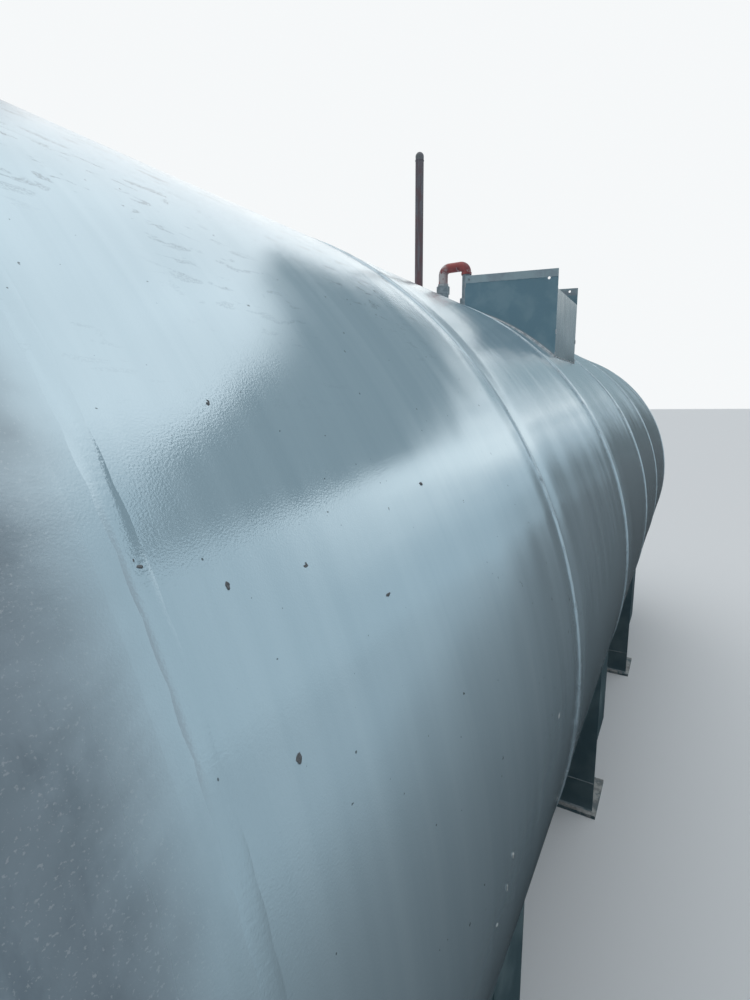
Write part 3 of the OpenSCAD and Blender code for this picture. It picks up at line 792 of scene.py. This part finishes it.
# Inside the box stands a flanged nozzle, closed by a blind cover over a black sheet gasket and held
# by eight studs with nuts on both sides. The castings are painted grey.
BOLT_CIRCLE_R = 0.09525
COVER_STUD_R = 0.008
COVER_NUT_FLATS = 0.024
COVER_NUT_H = 0.013
COVER_STUD_OVER = 0.009
COVER_STUDS = 8
COVER_PITCH = 0.002
COVER_THREAD = 0.001
FLANGE_T = 0.024
CASTING_DARK = (0.17, 0.20, 0.22, 1.0)
CASTING_LIGHT = (0.25, 0.27, 0.28, 1.0)
GASKET_BLACK = (0.02, 0.02, 0.022, 1.0)
GASKET_GREY = (0.06, 0.06, 0.06, 1.0)

nozzle_enamel, tree, shader, where = new_material("nozzle_enamel")
dirt = place_group(tree, grime, Vector=where, Scale=25.0)
tint = mix_node(tree, dirt.outputs["Blotches"], CASTING_DARK, CASTING_LIGHT)
wire(tree, mix_node(tree, dirt.outputs["Settled"], tint, DUST), shader.inputs["Base Color"])
shader.inputs["Metallic"].default_value = 0.2
shader.inputs["Roughness"].default_value = 0.5
bump(tree, noise_node(tree, where, 350.0, 3.0), 0.0005, shader)
paint(nozzle_enamel, "box_nozzle", "box_nozzle_cover")

gasket_sheet, tree, shader, where = new_material("gasket_sheet")
tint = mix_node(tree, noise_node(tree, where, 150.0, 3.0), GASKET_BLACK, GASKET_GREY)
wire(tree, tint, shader.inputs["Base Color"])
shader.inputs["Roughness"].default_value = 0.8
bump(tree, noise_node(tree, where, 500.0, 2.0), 0.0003, shader)
paint(gasket_sheet, "box_gasket")

cover_low, cover_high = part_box("box_nozzle_cover")
middle_x = (cover_low[0] + cover_high[0]) / 2
middle_y = (cover_low[1] + cover_high[1]) / 2
flange_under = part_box("box_nozzle")[1][2] - FLANGE_T
bm = bmesh.new()
for number in range(COVER_STUDS):
    turn_angle = math.tau * (number + 0.5) / COVER_STUDS
    x = middle_x + BOLT_CIRCLE_R * math.cos(turn_angle)
    y = middle_y + BOLT_CIRCLE_R * math.sin(turn_angle)
    low = flange_under - COVER_NUT_H - COVER_STUD_OVER
    high = cover_high[2] + COVER_NUT_H + COVER_STUD_OVER
    threaded_stud(bm, x, y, low, high, COVER_STUD_R, COVER_PITCH, COVER_THREAD)
    for nut_z in (cover_high[2], flange_under - COVER_NUT_H):
        hexagon_nut(bm, x, y, nut_z, COVER_NUT_FLATS, COVER_NUT_H, random.uniform(0.0, 1.0))
add_piece("cover_studs", bm, bolt_zinc)

# The vent is a capped steel pipe, screwed into a half coupling on the crown. Brown primer covers it,
# weathered grey above and redder at the foot.
VENT_BROWN = (0.170, 0.130, 0.140, 1.0)
VENT_GREY = (0.220, 0.215, 0.235, 1.0)
VENT_RED = (0.240, 0.070, 0.070, 1.0)
CAP_GREY = (0.200, 0.215, 0.210, 1.0)
CAP_DUST = (0.33, 0.34, 0.33, 1.0)
RED_FROM = 0.42
RED_FULL = 0.12
CAP_BEAD = 0.0022
COUPLING_R = 0.0352
FOOT_RING_BEAD = 0.006
RING_SIDES = 80

vent_low, vent_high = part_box("vent_pipe")
vent_primer, tree, shader, where = new_material("vent_primer")
dirt = place_group(tree, grime, Vector=where, Scale=14.0)
height = split(tree, where)[2]
drips = noise_node(tree, stretched(tree, where, (60.0, 60.0, 5.0)), 1.0, 4.0, 0.6)
tint = mix_node(tree, step_node(tree, drips, 0.40, 0.62), VENT_BROWN, VENT_GREY)
ragged = plus(tree, height, times(tree, drips, 0.25))
redder = step_node(tree, ragged, vent_low[2] + RED_FROM, vent_low[2] + RED_FULL, 0.0, 0.8)
tint = mix_node(tree, redder, tint, VENT_RED)
tint = mix_node(tree, times(tree, dirt.outputs["Blotches"], 0.35), tint, VENT_RED)
wire(tree, tint, shader.inputs["Base Color"])
wire(tree, step_node(tree, drips, 0.3, 0.7, 0.45, 0.7), shader.inputs["Roughness"])
bump(tree, noise_node(tree, where, 260.0, 4.0), 0.0006, shader)
paint(vent_primer, "vent_coupling", "vent_pipe")

cap_primer, tree, shader, where = new_material("cap_primer")
dirt = place_group(tree, grime, Vector=where, Scale=30.0)
tint = mix_node(tree, dirt.outputs["Blotches"], VENT_GREY, CAP_GREY)
tint = mix_node(tree, dirt.outputs["Settled"], tint, CAP_DUST)
wire(tree, tint, shader.inputs["Base Color"])
shader.inputs["Roughness"].default_value = 0.55
bump(tree, noise_node(tree, where, 260.0, 4.0), 0.0006, shader)
paint(cap_primer, "vent_cap")

cap_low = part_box("vent_cap")[0]
foot_z = AXIS_H + TANK_R


def lay_ring(bm, centre, ring_r, bead_r, follows_shell):
    """A weld bead round an upright pipe, level or laid along the shell's curve."""
    x_way = Vector((1.0, 0.0, 0.0))
    z_way = Vector((0.0, 0.0, 1.0))
    outline = round_outline(centre + x_way * ring_r, x_way, z_way, bead_r)
    part = sweep(outline, centre, z_way, math.tau, Vector(), RING_SIDES)
    for vert in part.verts:
        if follows_shell:
            vert.co.z += AXIS_H + math.sqrt(TANK_R ** 2 - vert.co.y ** 2) - centre.z
        vert.co += 0.0007 * wander(vert.co * 160.0)
    pour(bm, part)


bm = bmesh.new()
vent_x = (vent_low[0] + vent_high[0]) / 2
lay_ring(bm, Vector((vent_x, 0.0, cap_low[2])), (vent_high[0] - vent_low[0]) / 2, CAP_BEAD, False)
lay_ring(bm, Vector((vent_x, 0.0, foot_z)), COUPLING_R, FOOT_RING_BEAD, True)
add_piece("vent_beads", bm, vent_primer)

# The bridge pipe rises from a hexagon boss, bends over and drops back to the shell. Its bend is red
# paint, paler in broad patches on the first elbow and in scattered specks elsewhere, over a bare ring;
# its ends are grey fittings.
BEND_RED = (0.46, 0.105, 0.095, 1.0)
BEND_MAROON = (0.28, 0.065, 0.07, 1.0)
BEND_PALE = (0.62, 0.56, 0.55, 1.0)
FITTING_DARK = (0.30, 0.36, 0.39, 1.0)
FITTING_LIGHT = (0.46, 0.52, 0.55, 1.0)
FITTING_DUST = (0.50, 0.52, 0.52, 1.0)
COLLAR_PALE = (0.62, 0.64, 0.65, 1.0)
COLLAR_GREY = (0.44, 0.45, 0.46, 1.0)
BRIDGE_FEET = ((-0.143, 0.033), (-0.289, COUPLING_R))

bend_low, bend_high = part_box("bridge_bend")
bend_paint, tree, shader, where = new_material("bend_paint")
dirt = place_group(tree, grime, Vector=where, Scale=22.0)
py = split(tree, where)[1]
tint = mix_node(tree, dirt.outputs["Blotches"], BEND_RED, BEND_MAROON)
bend_patches = noise_node(tree, where, 28.0, 4.0, 0.6, 0.6)
# The leg at the bend's high-y end is paler in broad patches.
first_leg = step_node(tree, py, bend_high[1] - 0.075, bend_high[1] - 0.035)
elbow_pale = times(tree, step_node(tree, bend_patches, 0.40, 0.54), first_leg)
tint = mix_node(tree, elbow_pale, tint, BEND_PALE)
tint = mix_node(tree, times(tree, step_node(tree, bend_patches, 0.60, 0.66), 0.6), tint, BEND_PALE)
wire(tree, tint, shader.inputs["Base Color"])
wire(tree, step_node(tree, bend_patches, 0.35, 0.65, 0.32, 0.6), shader.inputs["Roughness"])
bump(tree, noise_node(tree, where, 240.0, 4.0), 0.0006, shader)
paint(bend_paint, "bridge_bend")

fitting_zinc, tree, shader, where = new_material("fitting_zinc")
dirt = place_group(tree, grime, Vector=where, Scale=32.0)
tint = mix_node(tree, dirt.outputs["Blotches"], FITTING_DARK, FITTING_LIGHT)
tint = mix_node(tree, dirt.outputs["Settled"], tint, FITTING_DUST)
wire(tree, tint, shader.inputs["Base Color"])
shader.inputs["Metallic"].default_value = 0.45
shader.inputs["Roughness"].default_value = 0.5
bump(tree, noise_node(tree, where, 320.0, 4.0), 0.0006, shader)
paint(fitting_zinc, "bridge_base", "bridge_drop")

collar_zinc, tree, shader, where = new_material("collar_zinc")
dirt = place_group(tree, grime, Vector=where, Scale=40.0)
tint = mix_node(tree, dirt.outputs["Blotches"], COLLAR_PALE, COLLAR_GREY)
wire(tree, tint, shader.inputs["Base Color"])
shader.inputs["Metallic"].default_value = 0.5
shader.inputs["Roughness"].default_value = 0.42
bump(tree, noise_node(tree, where, 400.0, 3.0), 0.0004, shader)
paint(collar_zinc, "bridge_collar")

bridge_x = (bend_low[0] + bend_high[0]) / 2
bm = bmesh.new()
for at_y, ring_r in BRIDGE_FEET:
    foot_z = AXIS_H + math.sqrt(TANK_R ** 2 - at_y ** 2)
    lay_ring(bm, Vector((bridge_x, at_y, foot_z)), ring_r, FOOT_RING_BEAD, True)
add_piece("bridge_beads", bm, weld_enamel)

# The studio is a pale floor under a soft overcast dome. A dark flag hangs high beyond the far end,
# with a bright strip low under it. The floor carries painted shade that darkens it towards the tank,
# seen only in reflections and bounced light, so that the gloss shows.
# Directions are given by azimuth from +X towards +Y and by elevation, in degrees.
FLAG_EDGES = (((-50.0, 29.0), (-38.0, 38.0)), ((-50.0, 29.0), (-17.0, 18.5)),
              ((-17.0, 18.5), (9.0, 22.5)), ((9.0, 22.5), (28.0, 36.0)), ((13.0, 41.0), (28.5, 34.5)))
FLAG_SOFT = 0.010
FLAG_TOP = 40.5
FLAG_MIDDLE = (-10.0, 30.0)
DOME = (1.00, 1.03, 1.05, 1.0)
CLOUD = (0.90, 0.93, 0.95, 1.0)
FLAG = (0.13, 0.19, 0.22, 1.0)
WALL = (0.40, 0.50, 0.56, 1.0)
DIM = (0.42, 0.51, 0.56, 1.0)
BEHIND = (0.30, 0.33, 0.36, 1.0)
FAR_WALL = (0.06, 0.075, 0.08, 1.0)
LOW_FLAG = (0.24, 0.33, 0.37, 1.0)
STRIP = (1.15, 1.18, 1.18, 1.0)
BACKDROP = (0.92, 0.94, 0.95, 1.0)
FLOOR_SHOWN = (0.80, 0.81, 0.82, 1.0)
FLOOR_SHADE_NEAR = (0.015, 0.02, 0.022, 1.0)
FLOOR_FAR = (0.44, 0.52, 0.56, 1.0)
FLOOR_SIZE = 400.0
SHADE_SPREAD = 0.35
SHADE_EDGES = (1.9, 7.5)


def direction(azimuth, elevation):
    """The unit vector of an azimuth from +X towards +Y and an elevation, in degrees."""
    a = math.radians(azimuth)
    e = math.radians(elevation)
    return Vector((math.cos(e) * math.cos(a), math.cos(e) * math.sin(a), math.sin(e)))


def level_step(tree, height, low, high):
    """A smooth step of a direction's height between two elevations in degrees."""
    return step_node(tree, height, math.sin(math.radians(low)), math.sin(math.radians(high)))


def sky_patch(tree, azimuth, height, left, right, *levels):
    """A mask between two steps of azimuth, and over or under steps of elevation, in degrees."""
    mask = step_node(tree, azimuth, math.radians(left[0]), math.radians(left[1]))
    mask = times(tree, mask, step_node(tree, azimuth, math.radians(right[0]), math.radians(right[1])))
    for low, high in levels:
        mask = times(tree, mask, level_step(tree, height, low, high))
    return mask


world = bpy.data.worlds.new("studio")
scene.world = world
world.use_nodes = True
tree = world.node_tree
background = tree.nodes["Background"]
ray = tree.nodes.new("ShaderNodeTexCoord").outputs["Generated"]
ray_x, ray_y, ray_z = split(tree, ray)
azimuth = math_node(tree, "ARCTAN2", ray_y, ray_x)
flag_mask = level_step(tree, ray_z, FLAG_TOP + 1.0, FLAG_TOP - 1.0)
for first, second in FLAG_EDGES:
    inside = direction(*first).cross(direction(*second)).normalized()
    if inside.dot(direction(*FLAG_MIDDLE)) < 0.0:
        inside = -inside
    dot = tree.nodes.new("ShaderNodeVectorMath")
    dot.operation = "DOT_PRODUCT"
    wire(tree, ray, dot.inputs[0])
    dot.inputs[1].default_value = inside
    flag_mask = times(tree, step_node(tree, dot.outputs["Value"], -FLAG_SOFT, FLAG_SOFT), flag_mask)
low_flag = sky_patch(tree, azimuth, ray_z, (-7.0, 0.0), (24.0, 18.0), (21.0, 16.0))
far_mask = sky_patch(tree, azimuth, ray_z, (-26.0, -7.0), (26.0, 10.0), (7.0, 2.0))
strip_mask = sky_patch(tree, azimuth, ray_z, (-42.0, -10.0), (70.0, 35.0), (5.0, 13.0), (34.0, 24.0))
dim_mask = sky_patch(tree, azimuth, ray_z, (-14.0, -44.0), (-110.0, -80.0), (54.0, 36.0))
behind_mask = times(tree, step_node(tree, ray_x, 0.47, 0.36), level_step(tree, ray_z, 50.0, 30.0))
clouds = step_node(tree, noise_node(tree, ray, 3.0, 3.0, 0.5, 0.5), 0.35, 0.65)
sky = mix_node(tree, level_step(tree, ray_z, 6.0, 26.0), WALL, mix_node(tree, clouds, DOME, CLOUD))
sky = mix_node(tree, dim_mask, sky, DIM)
streaks = noise_node(tree, stretched(tree, ray, (7.0, 11.0, 20.0)), 1.0, 3.0, 0.6, 1.5)
strip_mask = times(tree, strip_mask, step_node(tree, streaks, 0.42, 0.54))
sky = mix_node(tree, strip_mask, sky, STRIP)
sky = mix_node(tree, low_flag, sky, LOW_FLAG)
sky = mix_node(tree, far_mask, sky, FAR_WALL)
sky = mix_node(tree, flag_mask, sky, FLAG)
sky = mix_node(tree, behind_mask, sky, BEHIND)
path = tree.nodes.new("ShaderNodeLightPath")
sky = mix_node(tree, path.outputs["Is Camera Ray"], sky, BACKDROP)
wire(tree, sky, background.inputs["Color"])

floor_paint, tree, shader, where = new_material("floor_paint")
path = tree.nodes.new("ShaderNodeLightPath")
# Rays other than the camera's see painted shade: the floor darkens towards the tank, almost black next to
# it.
aside = math_node(tree, "ABSOLUTE", split(tree, where)[1])
beyond = math_node(tree, "MAXIMUM", math_node(tree, "SUBTRACT", split(tree, where)[0], 1.0), 0.0)
aside = math_node(tree, "SUBTRACT", aside, times(tree, beyond, SHADE_SPREAD))
floor_and_painted_shade = mix_node(tree, step_node(tree, aside, *SHADE_EDGES), FLOOR_SHADE_NEAR, FLOOR_FAR)
wire(tree, mix_node(tree, path.outputs["Is Camera Ray"], floor_and_painted_shade, FLOOR_SHOWN), shader.inputs["Base Color"])
shader.inputs["Roughness"].default_value = 0.9
bm = bmesh.new()
bmesh.ops.create_grid(bm, x_segments=1, y_segments=1, size=FLOOR_SIZE)
mesh = bpy.data.meshes.new("floor")
bm.to_mesh(mesh)
bm.free()
mesh.materials.append(floor_paint)
floor = bpy.data.objects.new("floor", mesh)
scene.collection.objects.link(floor)

scene.view_settings.view_transform = "Standard"
